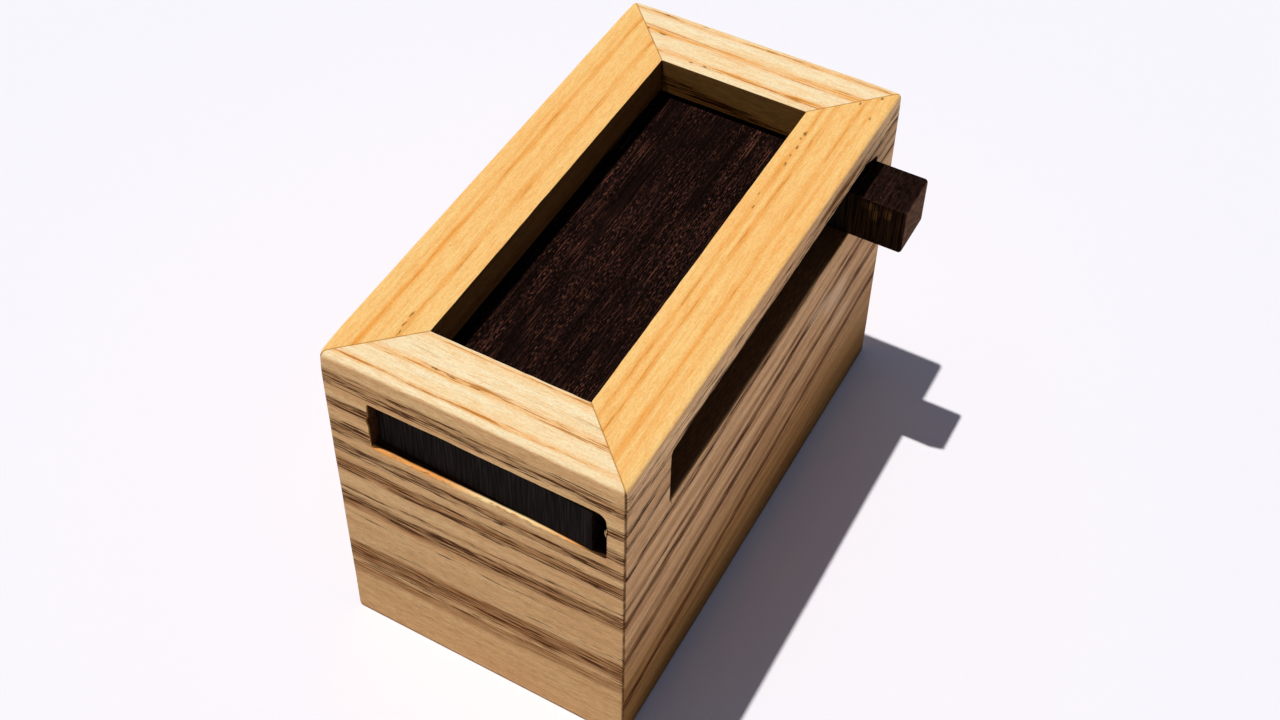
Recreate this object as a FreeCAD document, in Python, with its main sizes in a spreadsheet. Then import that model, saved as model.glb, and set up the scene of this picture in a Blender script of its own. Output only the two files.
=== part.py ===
import FreeCAD, Part
import os

import Sketcher

# Sliding lid box: four mitred ash walls, a bottom panel rabbeted into them, and a dark
# wenge lid that runs in a channel under the rim. A lever on the lid's right edge comes
# out through a slot in the right wall. Pushed forward, it drives the lid out of the
# front slot and uncovers the opening. The lid is drawn shut.
# Frame: origin at the centre of the base, +X right, +Y back, +Z up, millimetres.

sizes = {
    # box, outside to outside
    "box_width": 41.4,
    "box_length": 76.8,
    "box_height": 52.4,
    # wall boards
    "side_wall": 9.8,
    "front_wall": 9.3,
    "back_wall": 10.0,
    "corner_ease": 0.5,        # flat sanded on each upright corner
    "edge_ease": 0.4,          # rounding of the outer top and bottom edges
    # bottom panel, flush with the base, and the rabbet that it is glued into
    "bottom_thickness": 5.0,
    "rabbet_depth": 4.0,       # into each wall
    "bottom_play": 0.1,        # glue gap at each edge
    # channel that the lid runs in
    "rim_height": 5.4,         # wood left above the channel
    "channel_play": 0.9,       # room above the lid in the grooves
    "left_groove": 3.4,        # depth in the left wall
    "right_groove": 7.1,       # depth in the right wall
    "back_groove": 2.8,        # depth in the back wall
    "front_slot_play": 0.4,    # room above the lid in the front slot
    "front_slot_radius": 1.2,  # the slot's upper right corner
    "sill_ease": 0.5,          # rounding of the front slot's lower edge
    "side_slot_play": 1.9,     # room above the lever in the side slot
    "side_slot_margin": 10.7,  # front face to the front end of the side slot
    "side_slot_slope": 4.2,    # length at the back end where the slot's top slopes down
    "side_slot_drop": 1.5,     # how far it comes down there
    # lid
    "lid_thickness": 7.5,
    "lid_left_play": 0.3,
    "lid_right_play": 1.8,
    "lid_back_play": 0.3,
    "lid_setback": 0.1,        # right corner of the front end, behind the front face
    "lid_skew": 1.2,           # the left corner stands this much further back
    "lid_ease": 0.3,           # rounding of the front end's top edge
    # lever
    "lever_width": 7.6,
    "lever_reach": 7.7,        # out of the right face
    "lever_chamfer": 0.3,      # along the outer bottom edge
    "lever_ease": 0.3,         # rounding of the other outer edges
    # dowel between the lid and the lever
    "dowel_diameter": 3.0,
    "dowel_length": 13.0,
    "dowel_chamfer": 0.4,
    "dowel_end_gap": 0.5,      # glue space at each end
    "dowel_play": 0.05,        # glue film round the dowel
}

doc = FreeCAD.newDocument("sliding_lid_box")

sheet = doc.addObject("Spreadsheet::Sheet", "Sizes")
for row, (alias, value) in enumerate(sizes.items(), start=1):
    sheet.set(f"A{row}", alias)
    sheet.set(f"B{row}", str(value))
    sheet.setAlias(f"B{row}", alias)
doc.recompute()


class Size:
    """A length as a number, with the sheet formula that keeps it up to date."""

    def __init__(self, number, formula):
        self.number = number
        self.formula = formula

    def __add__(self, other):
        return Size(self.number + other.number, f"({self.formula} + {other.formula})")

    def __sub__(self, other):
        return Size(self.number - other.number, f"({self.formula} - {other.formula})")

    def __mul__(self, other):
        return Size(self.number * other.number, f"({self.formula} * {other.formula})")

    def __truediv__(self, other):
        return Size(self.number / other.number, f"({self.formula} / {other.formula})")

    def __neg__(self):
        return Size(-self.number, f"(-{self.formula})")


def size(alias):
    return Size(sizes[alias], f"Sizes.{alias}")


def half(length):
    return length / Size(2, "2")


# Places that several pieces share.

right_face = half(size("box_width"))
left_face = -right_face
back_face = half(size("box_length"))
front_face = -back_face
base = Size(0, "0")
rim = size("box_height")

right_inner = right_face - size("side_wall")
left_inner = -right_inner
back_inner = back_face - size("back_wall")
front_inner = front_face + size("front_wall")

channel_floor = rim - size("rim_height") - size("channel_play") - size("lid_thickness")
channel_left = left_inner - size("left_groove")
channel_right = right_inner + size("right_groove")
channel_back = back_inner + size("back_groove")

lid_left = channel_left + size("lid_left_play")
lid_right = channel_right - size("lid_right_play")
lid_back = channel_back - size("lid_back_play")
lid_front = front_face + size("lid_setback")
lid_top = channel_floor + size("lid_thickness")

lever_front = lid_back - size("lever_width")
lever_end = right_face + size("lever_reach")

dowel_radius = half(size("dowel_diameter"))
dowel_along = lid_back - half(size("lever_width"))
dowel_height = lid_top - half(size("lid_thickness"))

overcut = Size(1, "1")  # how far a cut runs past the wood
pick_slack = 0.01       # for finding an edge by its place


def new_body(label):
    body = doc.addObject("PartDesign::Body", label)
    body.Label = label
    return body


def new_sketch(body, label, role, lift):
    """Empty sketch on one of the body's own origin planes, lifted along its normal."""
    sketch = body.newObject("Sketcher::SketchObject", f"{body.Label}_{label}")
    plane = next(item for item in body.Origin.OriginFeatures if item.Role == role)
    sketch.AttachmentSupport = (plane, [""])
    sketch.MapMode = "FlatFace"
    sketch.setExpression("AttachmentOffset.Base.z", lift.formula)
    return sketch


def bind(sketch, length, kind, *target):
    """Constraint whose value follows the sheet."""
    index = sketch.addConstraint(Sketcher.Constraint(kind, *target, length.number))
    sketch.setExpression(f"Constraints[{index}]", length.formula)


def draw_outline(sketch, corners):
    """Closed run of straight lines, with both coordinates of each corner tied."""
    count = len(corners)
    for index, (across, up) in enumerate(corners):
        next_across, next_up = corners[(index + 1) % count]
        start = FreeCAD.Vector(across.number, up.number, 0)
        end = FreeCAD.Vector(next_across.number, next_up.number, 0)
        sketch.addGeometry(Part.LineSegment(start, end))
    for index, (across, up) in enumerate(corners):
        following = (index + 1) % count
        sketch.addConstraint(Sketcher.Constraint("Coincident", index, 2, following, 1))
        bind(sketch, across, "DistanceX", -1, 1, index, 1)
        bind(sketch, up, "DistanceY", -1, 1, index, 1)


def draw_circle(sketch, across, up, radius):
    centre = FreeCAD.Vector(across.number, up.number, 0)
    sketch.addGeometry(Part.Circle(centre, FreeCAD.Vector(0, 0, 1), radius.number))
    bind(sketch, across, "DistanceX", -1, 1, 0, 3)
    bind(sketch, up, "DistanceY", -1, 1, 0, 3)
    bind(sketch, radius, "Radius", 0)


def pad(body, sketch, length):
    feature = body.newObject("PartDesign::Pad", f"{body.Label}_blank")
    feature.Profile = sketch
    feature.setExpression("Length", length.formula)
    doc.recompute()


def pocket(body, label, sketch, depth, along_normal):
    """Cut that has to take wood away."""
    before = body.Shape.Volume
    feature = body.newObject("PartDesign::Pocket", f"{body.Label}_{label}")
    feature.Profile = sketch
    feature.Reversed = along_normal
    feature.setExpression("Length", depth.formula)
    doc.recompute()
    if not body.Shape.Volume < before:
        raise ValueError(f"{body.Label}: {label} cuts nothing")


def cut_block(body, label, x_range, y_range, floor, height):
    """Square-sided cut over a rectangle of the plan, from its floor up."""
    (low_x, high_x), (low_y, high_y) = x_range, y_range
    sketch = new_sketch(body, f"{label}_plan", "XY_Plane", floor)
    draw_outline(sketch, [(low_x, low_y), (high_x, low_y), (high_x, high_y), (low_x, high_y)])
    pocket(body, label, sketch, height, True)


def cut_side_opening(wall, label, corners):
    """Opening through the right wall, from its outline seen from the side."""
    sketch = new_sketch(wall, f"{label}_outline", "YZ_Plane", right_face + overcut)
    draw_outline(sketch, corners)
    pocket(wall, label, sketch, size("side_wall") + overcut + overcut, False)


def cut_rabbet(wall, x_range, y_range):
    """Step along the wall's lower inner edge for the bottom panel."""
    depth = size("bottom_thickness") + overcut
    cut_block(wall, "rabbet", x_range, y_range, base - overcut, depth)


def cut_dowel_hole(body, into_lever):
    """Blind hole along X for half of the dowel, from the joint's face."""
    sketch = new_sketch(body, "dowel_hole_circle", "YZ_Plane", lid_right)
    draw_circle(sketch, dowel_along, dowel_height, dowel_radius + size("dowel_play"))
    depth = half(size("dowel_length")) + size("dowel_end_gap")
    pocket(body, "dowel_hole", sketch, depth, into_lever)


def ease(body, label, kind, amount, *rooms):
    """Fillet or chamfer on the edges that lie in the boxes between pairs of corners."""
    names = []
    for start, end in rooms:
        low = [min(a.number, b.number) - pick_slack for a, b in zip(start, end)]
        high = [max(a.number, b.number) + pick_slack for a, b in zip(start, end)]
        room = FreeCAD.BoundBox(*low, *high)
        for index, edge in enumerate(body.Shape.Edges, start=1):
            if room.isInside(edge.BoundBox):
                names.append(f"Edge{index}")
    if len(names) < len(rooms):
        raise ValueError(f"{body.Label}: {label} misses an edge")
    eased = body.Tip
    feature = body.newObject(f"PartDesign::{kind}", f"{body.Label}_{label}")
    feature.Base = (eased, names)
    feature.setExpression({"Fillet": "Radius", "Chamfer": "Size"}[kind], amount.formula)
    doc.recompute()


def box_corner(side_face, side_inner, end_face, end_inner, end_wall):
    """Plan points of one corner of the box.

    The mitre runs from the inner corner to the outer one, where a sanded flat takes
    the point off between the side face and the end face.
    """
    flat = size("corner_ease")
    mitre_share = flat / (size("side_wall") + end_wall)
    side_in = side_inner - side_face
    end_in = end_inner - end_face
    return {
        "inner": (side_inner, end_inner),
        "mitre": (side_face + side_in * mitre_share, end_face + end_in * mitre_share),
        "end": (side_face + side_in * (flat / size("side_wall")), end_face),
        "side": (side_face, end_face + end_in * (flat / end_wall)),
    }


front_left = box_corner(left_face, left_inner, front_face, front_inner, size("front_wall"))
front_right = box_corner(right_face, right_inner, front_face, front_inner, size("front_wall"))
back_left = box_corner(left_face, left_inner, back_face, back_inner, size("back_wall"))
back_right = box_corner(right_face, right_inner, back_face, back_inner, size("back_wall"))


def build_wall(label, first, last, outer):
    """Mitred board between two corners of the box; outer is the face that it shows."""
    body = new_body(label)
    plan = new_sketch(body, "plan", "XY_Plane", base)
    first_points = [first["inner"], first["mitre"], first[outer]]
    last_points = [last[outer], last["mitre"], last["inner"]]
    draw_outline(plan, first_points + last_points)
    pad(body, plan, rim)
    return body


def round_outer_edges(body, first, last):
    """Eases the top and bottom edges of a wall's outside, sanded flats included."""
    rooms = []
    for height in (base, rim):
        rooms.append(((*first, height), (*last, height)))
    ease(body, "outer_edges", "Fillet", size("edge_ease"), *rooms)


def build_front_wall():
    wall = build_wall("front_wall", front_left, front_right, "end")
    rabbet = (front_inner - size("rabbet_depth"), front_inner + overcut)
    cut_rabbet(wall, (left_face, right_face), rabbet)
    through = (front_face - overcut, front_inner + overcut)
    height = size("lid_thickness") + size("front_slot_play")
    cut_block(wall, "lid_slot", (channel_left, channel_right), through, channel_floor, height)
    slot_top = channel_floor + height
    corner = (channel_right, front_face, slot_top), (channel_right, front_inner, slot_top)
    ease(wall, "slot_corner", "Fillet", size("front_slot_radius"), corner)
    sill = (channel_left, front_face, channel_floor), (channel_right, front_face, channel_floor)
    ease(wall, "sill", "Fillet", size("sill_ease"), sill)
    round_outer_edges(wall, (left_face, front_face), front_right["mitre"])


def build_back_wall():
    wall = build_wall("back_wall", back_left, back_right, "end")
    rabbet = (back_inner - overcut, back_inner + size("rabbet_depth"))
    cut_rabbet(wall, (left_face, right_face), rabbet)
    groove = (back_inner - overcut, channel_back)
    cut_block(wall, "lid_groove", (left_face, right_face), groove,
              channel_floor, size("lid_thickness") + size("channel_play"))
    round_outer_edges(wall, (left_face, back_face), back_right["mitre"])


def build_left_wall():
    wall = build_wall("left_wall", front_left, back_left, "side")
    rabbet = (left_inner - size("rabbet_depth"), left_inner + overcut)
    cut_rabbet(wall, rabbet, (front_face, back_face))
    groove = (channel_left, left_inner + overcut)
    cut_block(wall, "lid_groove", groove, (front_face, back_face),
              channel_floor, size("lid_thickness") + size("channel_play"))
    round_outer_edges(wall, (left_face, front_face), back_left["mitre"])


def build_right_wall():
    wall = build_wall("right_wall", front_right, back_right, "side")
    rabbet = (right_inner - overcut, right_inner + size("rabbet_depth"))
    cut_rabbet(wall, rabbet, (front_face, back_face))
    groove = (right_inner - overcut, channel_right)
    cut_block(wall, "lid_groove", groove, (front_face, back_face),
              channel_floor, size("lid_thickness") + size("channel_play"))
    slot_front = front_face + size("side_slot_margin")
    slot_top = lid_top + size("side_slot_play")
    cut_side_opening(wall, "lever_slot", [
        (slot_front, channel_floor), (channel_back, channel_floor),
        (channel_back, slot_top - size("side_slot_drop")),
        (channel_back - size("side_slot_slope"), slot_top), (slot_front, slot_top)])
    round_outer_edges(wall, (right_face, front_face), back_right["mitre"])


def build_bottom_panel():
    """Plain panel, glued into the rabbets of the four walls."""
    panel = doc.addObject("Part::Box", "bottom_panel")
    panel.Label = "bottom_panel"
    seat = size("rabbet_depth") - size("bottom_play")
    low_x = left_inner - seat
    low_y = front_inner - seat
    panel.setExpression("Length", (right_inner + seat - low_x).formula)
    panel.setExpression("Width", (back_inner + seat - low_y).formula)
    panel.setExpression("Height", size("bottom_thickness").formula)
    panel.setExpression("Placement.Base.x", low_x.formula)
    panel.setExpression("Placement.Base.y", low_y.formula)


def build_lid():
    """Board whose front end is sawn a little out of square."""
    lid = new_body("lid")
    plan = new_sketch(lid, "plan", "XY_Plane", channel_floor)
    front_left_corner = (lid_left, lid_front + size("lid_skew"))
    front_right_corner = (lid_right, lid_front)
    draw_outline(plan, [front_left_corner, front_right_corner,
                        (lid_right, lid_back), (lid_left, lid_back)])
    pad(lid, plan, size("lid_thickness"))
    cut_dowel_hole(lid, False)
    front_edge = (*front_left_corner, lid_top), (*front_right_corner, lid_top)
    ease(lid, "front_edge", "Fillet", size("lid_ease"), front_edge)


def build_lever():
    """Bar glued and dowelled to the lid's right edge, out through the side slot."""
    lever = new_body("lever")
    plan = new_sketch(lever, "plan", "XY_Plane", channel_floor)
    draw_outline(plan, [(lid_right, lever_front), (lever_end, lever_front),
                        (lever_end, lid_back), (lid_right, lid_back)])
    pad(lever, plan, size("lid_thickness"))
    cut_dowel_hole(lever, True)
    lower_front = (lever_end, lever_front, channel_floor)
    lower_back = (lever_end, lid_back, channel_floor)
    upper_front = (lever_end, lever_front, lid_top)
    upper_back = (lever_end, lid_back, lid_top)
    ease(lever, "lower_edge", "Chamfer", size("lever_chamfer"), (lower_front, lower_back))
    ease(lever, "outer_edges", "Fillet", size("lever_ease"), (lower_front, upper_front),
         (lower_back, upper_back), (upper_front, upper_back))


def build_dowel():
    dowel = new_body("lever_dowel")
    start = lid_right - half(size("dowel_length"))
    end = lid_right + half(size("dowel_length"))
    circle = new_sketch(dowel, "circle", "YZ_Plane", start)
    draw_circle(circle, dowel_along, dowel_height, dowel_radius)
    pad(dowel, circle, size("dowel_length"))
    rooms = []
    for place in (start, end):
        low = (place, dowel_along - dowel_radius, dowel_height - dowel_radius)
        high = (place, dowel_along + dowel_radius, dowel_height + dowel_radius)
        rooms.append((low, high))
    ease(dowel, "ends", "Chamfer", size("dowel_chamfer"), *rooms)


build_front_wall()
build_back_wall()
build_left_wall()
build_right_wall()
build_bottom_panel()
build_lid()
build_lever()
build_dowel()
doc.recompute()

for item in doc.Objects:
    if "Invalid" in item.State or "Error" in item.State:
        raise ValueError(f"{item.Label} did not compute")

parts = [item for item in doc.Objects if item.TypeId in ("PartDesign::Body", "Part::Box")]
for part in parts:
    if part.Shape.isNull() or not part.Shape.isValid() or len(part.Shape.Solids) != 1:
        raise ValueError(f"{part.Label} is not one sound solid")

os.makedirs("parts", exist_ok=True)
for part in parts:
    part.Shape.exportStep(f"parts/{part.Label}.step")
    room = part.Shape.BoundBox
    print(f"{part.Label}: {part.Shape.Volume:.1f} mm3, x {room.XMin:.2f} to {room.XMax:.2f},"
          f" y {room.YMin:.2f} to {room.YMax:.2f}, z {room.ZMin:.2f} to {room.ZMax:.2f}")
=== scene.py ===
import math
import random
from functools import partial

import bmesh
import bpy
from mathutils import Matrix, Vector, noise


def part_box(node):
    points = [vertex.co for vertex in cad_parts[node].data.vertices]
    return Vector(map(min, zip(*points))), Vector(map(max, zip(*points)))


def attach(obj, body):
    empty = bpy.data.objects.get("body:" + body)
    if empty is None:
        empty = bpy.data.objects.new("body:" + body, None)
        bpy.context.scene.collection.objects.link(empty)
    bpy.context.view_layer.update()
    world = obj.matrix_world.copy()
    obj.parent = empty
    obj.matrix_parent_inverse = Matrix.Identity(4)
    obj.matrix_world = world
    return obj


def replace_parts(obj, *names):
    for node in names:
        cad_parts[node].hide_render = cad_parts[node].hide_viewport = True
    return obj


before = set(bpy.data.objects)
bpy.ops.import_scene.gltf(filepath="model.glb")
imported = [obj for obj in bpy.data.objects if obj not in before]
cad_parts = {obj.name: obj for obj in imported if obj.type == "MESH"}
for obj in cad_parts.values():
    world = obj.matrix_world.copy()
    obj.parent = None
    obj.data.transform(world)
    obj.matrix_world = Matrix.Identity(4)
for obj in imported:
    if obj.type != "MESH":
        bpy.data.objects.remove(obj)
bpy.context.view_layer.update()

# Sliding lid box: four mitred ash boards, a wenge lid under the rim and its lever.
# Lengths are millimetres here, and become Blender's metres when a mesh is made.
# On a board, "along" runs with its length and its grain, "deep" is counted inwards
# from its outer face, and "height" up from the table.
metres = 0.001
scene = bpy.context.scene


def linear(hexCode):
    # sRGB hex to the linear colour that Blender's sockets take
    shares = [int(hexCode[i:i + 2], 16) / 255 for i in (1, 3, 5)]
    curve = [c / 12.92 if c <= 0.04045 else ((c + 0.055) / 1.055) ** 2.4 for c in shares]
    return (*curve, 1.0)


def addNode(tree, kind, inputs=(), **settings):
    # inputs go by name or in order; a node given as one stands for its first output
    node = tree.nodes.new("ShaderNode" + kind)
    if kind == "Mix":
        settings.setdefault("data_type", "RGBA")        # mixes colours, if not told otherwise
    for name, value in settings.items():
        setattr(node, name, value)
    sockets = [socket for socket in node.inputs if socket.enabled]
    if isinstance(inputs, dict):
        sockets = [node.inputs[name] for name in inputs]
        inputs = inputs.values()
    for socket, value in zip(sockets, inputs):
        if isinstance(value, bpy.types.Node):
            value = next(output for output in value.outputs if output.enabled)
        if isinstance(value, bpy.types.NodeSocket):
            tree.links.new(value, socket)
        else:
            socket.default_value = linear(value) if isinstance(value, str) else value
    return node


def emptyTree(tree):
    # clears a node tree, and gives addNode bound to it
    tree.nodes.clear()
    return partial(addNode, tree)


def newMaterial(name):
    material = bpy.data.materials.new(name)
    material.use_nodes = True
    return material, emptyTree(material.node_tree)


def nodeBox(node):
    low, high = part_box(node)
    return low / metres, high / metres


frontLow, frontHigh = nodeBox("front_wall")
backLow, backHigh = nodeBox("back_wall")
rightLow, rightHigh = nodeBox("right_wall")
panelHigh = nodeBox("bottom_panel")[1]
lidLow, lidHigh = nodeBox("lid")
leverLow, leverHigh = nodeBox("lever")

box = {
    "halfWidth": rightHigh.x,
    "halfLength": backHigh.y,
    "height": frontHigh.z,
    "sideRabbet": panelHigh.x - rightLow.x,      # for the bottom panel, into a board
    "endRabbet": 4.0,
}
walls = {
    "front": frontHigh.y - frontLow.y,
    "back": backHigh.y - backLow.y,
    "left": rightHigh.x - rightLow.x,
    "right": rightHigh.x - rightLow.x,
}

# the room that the lid runs in: the lid's own size and its play
play = {"above": 0.9, "left": 0.3, "right": 1.8, "back": 0.3, "inFrontSlot": 0.4, "inSideSlot": 1.9}
channel = {
    "floor": lidLow.z,
    "top": lidHigh.z + play["above"],
    "left": lidLow.x - play["left"],
    "right": lidHigh.x + play["right"],
    "back": lidHigh.y + play["back"],
}
# how deep it goes into each board
grooves = {
    "front": 0.0,
    "back": channel["back"] - backLow.y,
    "left": -rightLow.x - channel["left"],
    "right": channel["right"] - rightLow.x,
}


# Camera

camera = {
    "place": (75.14, -139.72, 207.64),
    "turn": (45.38, 0.0, 29.68),        # degrees
    "lens": 49.65,
    "shift": (0.0309, -0.1095),
    "nearest": 5.0,
}

cameraData = bpy.data.cameras.new("camera")
cameraData.lens = camera["lens"]
cameraData.shift_x, cameraData.shift_y = camera["shift"]
cameraData.clip_start = camera["nearest"] * metres
cameraObject = bpy.data.objects.new("camera", cameraData)
cameraObject.location = Vector(camera["place"]) * metres
cameraObject.rotation_euler = [math.radians(angle) for angle in camera["turn"]]
scene.collection.objects.link(cameraObject)
scene.camera = cameraObject


# Floor and light

studio = {
    "floorSize": 4000.0,
    "floorSeen": "#F2EEF0",       # pale paper, as the camera sees it
    "floorBounce": "#FDF6EA",     # what it throws back onto the wood
    "keyTowards": (0.226, 0.058, -0.972),
    "keyStrength": 3.1,
    "keySpread": 0.8,             # degrees, a soft edge to the shadow
    "fill": "#C7D9FF",
    "fillStrength": 0.175,
    "backdrop": "#FAF9FD",
}


def seenDirectly(add):
    # 1 where the camera, a reflection or a clear surface looks at it
    path = add("LightPath").outputs
    glossy = add("Math", [path["Is Camera Ray"], path["Is Glossy Ray"]], operation="MAXIMUM")
    return add("Math", [glossy, path["Is Transmission Ray"]], operation="MAXIMUM")


def paleFloor():
    material, add = newMaterial("matte pale paper")
    seen = add("BsdfDiffuse", {"Color": studio["floorSeen"]})
    bounce = add("BsdfDiffuse", {"Color": studio["floorBounce"]})
    mixed = add("MixShader", [seenDirectly(add), bounce, seen])
    add("OutputMaterial", {"Surface": mixed})
    return material


def setStage():
    half = studio["floorSize"] / 2 * metres
    mesh = bpy.data.meshes.new("floor")
    mesh.from_pydata([(-half, -half, 0), (half, -half, 0), (half, half, 0), (-half, half, 0)],
                     [], [(0, 1, 2, 3)])
    mesh.materials.append(paleFloor())
    floor = bpy.data.objects.new("floor", mesh)
    scene.collection.objects.link(floor)

    key = bpy.data.lights.new("softKey", "SUN")
    key.energy = studio["keyStrength"]
    key.angle = math.radians(studio["keySpread"])
    keyObject = bpy.data.objects.new("softKey", key)
    keyObject.rotation_euler = Vector(studio["keyTowards"]).to_track_quat("-Z", "Y").to_euler()
    scene.collection.objects.link(keyObject)

    world = bpy.data.worlds.new("studio")
    world.use_nodes = True
    add = emptyTree(world.node_tree)
    fill = add("Background", {"Color": studio["fill"], "Strength": studio["fillStrength"]})
    backdrop = add("Background", {"Color": studio["backdrop"]})
    seen = add("LightPath").outputs["Is Camera Ray"]
    add("OutputWorld", {"Surface": add("MixShader", [seen, fill, backdrop])})
    scene.world = world
    scene.view_settings.view_transform = "Standard"


setStage()
print("floor, light and camera ready")


# Wood

# Gloss of each finish: bare or oiled fibre hardly glints.
finishes = {
    "oiled": {"Roughness": 0.65, "IOR": 1.5, "Specular IOR Level": 0.03},
    "sawn": {"Roughness": 0.85, "IOR": 1.5, "Specular IOR Level": 0.05},
    "torn": {"Roughness": 0.8, "IOR": 1.5, "Specular IOR Level": 0.1},
    "planed": {"Roughness": 0.75, "IOR": 1.45, "Specular IOR Level": 0.03},
    "turned": {"Roughness": 0.6, "IOR": 1.5},
}
# and how strongly and how deep in mm its grain stands in relief
reliefs = {"oiled": (0.6, 0.05), "sawn": (0.9, 0.1), "planed": (0.6, 0.05)}


def finishWood(add, colour, finish, height=None):
    # the surface itself: its colour, its gloss and its relief
    sockets = {"Base Color": colour, **finishes[finish]}
    if finish in reliefs:
        strength, deep = reliefs[finish]
        sockets["Normal"] = add("Bump", {"Strength": strength, "Distance": deep * metres,
                                         "Height": height})
    add("OutputMaterial", {"Surface": add("BsdfPrincipled", sockets)})


# What shows in ash: vessels about 0.2 mm wide, open and dark, crowded where a ring starts.
# Every pair is a length along the grain and a width across it.
ashGrain = {
    "fields": {
        "vessel": (2.2, 0.17),
        "row": (6.5, 0.21),      # vessels that run on into lines
        "fibre": (1.6, 0.16),
        "clump": (9.0, 0.9),
        "streak": (30.0, 1.5),
        "drift": (45.0, 14.0),
        "fray": (8.0, 1.3),
    },
    "grit": (0.4, 0.22),         # cut fibre ends, drawn coarse enough to show
    "gritTones": (0.9, 1.06),    # each a little darker or lighter
    "driftBy": 1.2,              # how far a ring wanders
    "frayBy": 0.8,               # how ragged its edge is
    # what part of a field shows, and what a look's own value rises to over it
    "shown": {
        "broken": ("clump", 0.35, 0.65, 1.15),
        "lined": ("row", 0.38, 0.6, 1.2),
        "even": ("clump", 0.3, 0.65, 1.1),
    },
    "streakShown": (0.38, 0.66),
    "fibreShown": (0.42, 0.72, 0.0),
    "rowShare": 0.72,            # the rest is single vessels
    "fullRow": 0.35,             # strength from which every vessel of a row shows
    "marks": (0.565, 0.6),       # from faint to dark
    "rowEdge": 0.25,             # how soon a row of vessels thins out
    "stainEdge": 0.9,            # and how soon a brown zone does
    "ringTilt": 0.35,            # rings climb this much for each mm into the board
    "fleck": "#6E4012",
    "fleckShare": 0.75,
    "palePatch": "#FFE4C8",         # pale patches on a face
    "palePatchShare": 0.4,
    "glueWidth": 0.1,
    "glueFiner": 1.8,            # this much finer on the rim
    "glueBreaks": (1.5, 1.5),
    "glueShows": (0.35, 0.6, 0.6, 0.9),
    "glue": "#5A3818",
    # painted light: the glue line on the rim is drawn orange, as strong sun shows it
    "sunlitRimGlue": "#B87C34",
}


def grainField(add, place, size, detail=2.0):
    # noise drawn out along the grain; place is in mm, with the grain first
    long, wide = size
    squeezed = add("VectorMath", [place, (1 / long, 1 / wide, 1 / wide)], operation="MULTIPLY")
    return add("TexNoise", {"Vector": squeezed, "Scale": 1.0, "Detail": detail})


def objectPlace(add):
    # the point in mm, in the box's own frame
    texture = add("TexCoord")
    return add("VectorMath", {"Vector": texture.outputs["Object"], "Scale": 1 / metres},
               operation="SCALE")


def boardPlace(add, board):
    # where a point is on its board: along, deep, height, and all three with the grain first
    parts = add("SeparateXYZ", [objectPlace(add)]).outputs
    alongAxis, deepAxis = (0, 1) if board["alongX"] else (1, 0)
    along, height = parts[alongAxis], parts[2]
    outward = add("Math", [parts[deepAxis]], operation="ABSOLUTE")
    deep = add("Math", [board["outerFace"], outward], operation="SUBTRACT")
    seeded = add("Math", [along, board["seed"]], operation="ADD")
    return along, deep, height, add("CombineXYZ", [seeded, height, deep])


def zoneCurve(add, across, zones, span, soft):
    # 0 between the zones; a zone is from, to and strength
    share = add("Math", [across, span], operation="DIVIDE")
    curve = add("FloatCurve", {"Value": share})
    line = curve.mapping.curves[0]
    line.points[1].location = (1.0, 0.0)
    for low, high, strength in zones:
        edge = min(soft, (high - low) / 2.5)
        for at, value in ((low, 0.0), (low + edge, strength), (high - edge, strength), (high, 0.0)):
            point = line.points.new(at / span, value)
            point.handle_type = "VECTOR"
    curve.mapping.update()
    return curve


# A spot's outline is pulled about by noise, and fades out between two shares of its size.
spotEdge = {"noise": (0.7, 0.3), "pull": ((0.9, 0.45, 0.0), (-0.45, -0.22, 0.0)),
            "fade": (0.4, 1.1, 1.0, 0.0)}


def addSpots(add, marks, along, across, spots):
    # single dark pores: along, across, and half their length and width
    where = add("CombineXYZ", [along, across])
    ragged = grainField(add, where, spotEdge["noise"]).outputs["Color"]
    ragged = add("VectorMath", [ragged, *spotEdge["pull"]], operation="MULTIPLY_ADD")
    where = add("VectorMath", [where, ragged], operation="ADD")
    for spotAlong, spotAcross, long, wide in spots:
        offset = add("VectorMath", [where, (spotAlong, spotAcross, 0.0)], operation="SUBTRACT")
        scaled = add("VectorMath", [offset, (1 / long, 1 / wide, 0.0)], operation="MULTIPLY")
        length = add("VectorMath", [scaled], operation="LENGTH")
        inside = add("MapRange", [length.outputs["Value"], *spotEdge["fade"]],
                     interpolation_type="SMOOTHSTEP")
        marks = add("Math", [marks, inside], operation="MAXIMUM")
    return marks


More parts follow.
